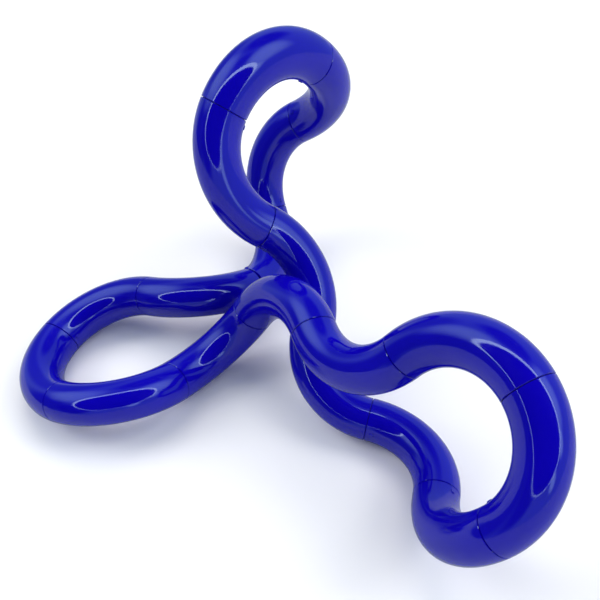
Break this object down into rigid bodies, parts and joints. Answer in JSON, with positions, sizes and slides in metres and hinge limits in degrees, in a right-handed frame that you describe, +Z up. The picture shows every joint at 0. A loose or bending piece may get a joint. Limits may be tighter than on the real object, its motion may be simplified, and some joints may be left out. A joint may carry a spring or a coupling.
{
  "type": "twisty loop puzzle",
  "caption": "Closed loop of glossy blue quarter-turn tube links, snapped end to end so that every seam twists, folded into three standing lobes.",
  "frame": {"origin": "on the table, at the middle of the folded loop's footprint", "axes": "+Z up, -Y towards the viewer's side, where the two wide lobes spread left and right"},
  "size_m": [0.1186, 0.1224, 0.0666],
  "materials": {
    "blue_plastic": "glossy cobalt blue moulded ABS, smooth, with fine seams"
  },
  "bodies": {
    "link_01": {"link_01": "blue_plastic"},
    "link_02": {"link_02": "blue_plastic"},
    "link_03": {"link_03": "blue_plastic"},
    "link_04": {"link_04": "blue_plastic"},
    "link_05": {"link_05": "blue_plastic"},
    "link_06": {"link_06": "blue_plastic"},
    "link_07": {"link_07": "blue_plastic"},
    "link_08": {"link_08": "blue_plastic"},
    "link_09": {"link_09": "blue_plastic"},
    "link_10": {"link_10": "blue_plastic"},
    "link_11": {"link_11": "blue_plastic"},
    "link_12": {"link_12": "blue_plastic"},
    "link_13": {"link_13": "blue_plastic"},
    "link_14": {"link_14": "blue_plastic"},
    "link_15": {"link_15": "blue_plastic"},
    "link_16": {"link_16": "blue_plastic"},
    "link_17": {"link_17": "blue_plastic"},
    "link_18": {"link_18": "blue_plastic"}
  },
  "joints": [
    {"name": "seam_10", "type": "hinge", "parent": "link_11", "child": "link_10", "pos_m": [0.04002, -0.0397, 0.0075], "axis": [-0.2081, -0.9523, 0.2234], "range_deg": [-1, 3]},
    {"name": "seam_11", "type": "hinge", "parent": "link_11", "child": "link_12", "pos_m": [0.02639, -0.0183, 0.00546], "axis": [-0.9653, 0.2367, 0.11], "range_deg": [0, 33]},
    {"name": "seam_09", "type": "hinge", "parent": "link_10", "child": "link_09", "pos_m": [0.04784, -0.05614, 0.0253], "axis": [0.6427, 0.0391, 0.7652], "range_deg": [0, 340]},
    {"name": "seam_12", "type": "hinge", "parent": "link_12", "child": "link_13", "pos_m": [0.01371, 0.00161, 0.015], "axis": [0.261, 0.8693, 0.4198], "range_deg": [-57, 1]},
    {"name": "seam_08", "type": "hinge", "parent": "link_09", "child": "link_08", "pos_m": [0.05221, -0.0398, 0.04432], "axis": [-0.4003, 0.8687, 0.2918], "range_deg": [0, 327]},
    {"name": "seam_13", "type": "hinge", "parent": "link_13", "child": "link_14", "pos_m": [0.00385, 0.01652, 0.03312], "axis": [-0.8086, -0.0407, 0.587], "range_deg": [-135, 1]},
    {"name": "seam_07", "type": "hinge", "parent": "link_08", "child": "link_07", "pos_m": [0.03285, -0.02532, 0.03635], "axis": [-0.6752, -0.0643, -0.7348], "range_deg": [-187, 0]},
    {"name": "seam_14", "type": "hinge", "parent": "link_14", "child": "link_15", "pos_m": [-0.00198, 0.02516, 0.05634], "axis": [0.4844, 0.5204, 0.7033], "range_deg": [-7, 260]},
    {"name": "seam_06", "type": "hinge", "parent": "link_07", "child": "link_06", "pos_m": [0.01511, -0.00976, 0.02679], "axis": [-0.3102, 0.9286, 0.2038], "range_deg": [-1, 235]},
    {"name": "seam_15", "type": "hinge", "parent": "link_15", "child": "link_16", "pos_m": [0.0163, 0.04287, 0.05624], "axis": [0.5311, 0.4639, -0.709], "range_deg": [-2, 320]},
    {"name": "seam_05", "type": "hinge", "parent": "link_06", "child": "link_05", "pos_m": [-0.00077, 0.00675, 0.01569], "axis": [-0.5717, -0.011, -0.8204], "range_deg": [-194, 2]},
    {"name": "seam_16", "type": "hinge", "parent": "link_16", "child": "link_17", "pos_m": [0.01064, 0.05539, 0.03481], "axis": [-0.8453, 0.2316, -0.4816], "range_deg": [-330, 0]},
    {"name": "seam_04", "type": "hinge", "parent": "link_05", "child": "link_04", "pos_m": [-0.02015, -0.00755, 0.00745], "axis": [-0.505, -0.7834, 0.3624], "range_deg": [-21, 178]},
    {"name": "seam_17", "type": "hinge", "parent": "link_17", "child": "link_18", "pos_m": [0.00006, 0.04853, 0.0127], "axis": [0.2575, -0.6131, -0.7468], "continuous": true},
    {"name": "seam_03", "type": "hinge", "parent": "link_04", "child": "link_03", "pos_m": [-0.04474, -0.01389, 0.00914], "axis": [-0.8615, 0.4312, -0.2683], "range_deg": [-346, 1]},
    {"name": "seam_02", "type": "hinge", "parent": "link_03", "child": "link_02", "pos_m": [-0.05239, 0.01005, 0.00506], "axis": [0.4369, 0.8986, 0.0412], "range_deg": [-340, 2]},
    {"name": "seam_01", "type": "hinge", "parent": "link_02", "child": "link_01", "pos_m": [-0.02896, 0.01844, 0.01042], "axis": [0.8645, -0.4321, 0.2566], "range_deg": [-44, 188]}
  ]
}
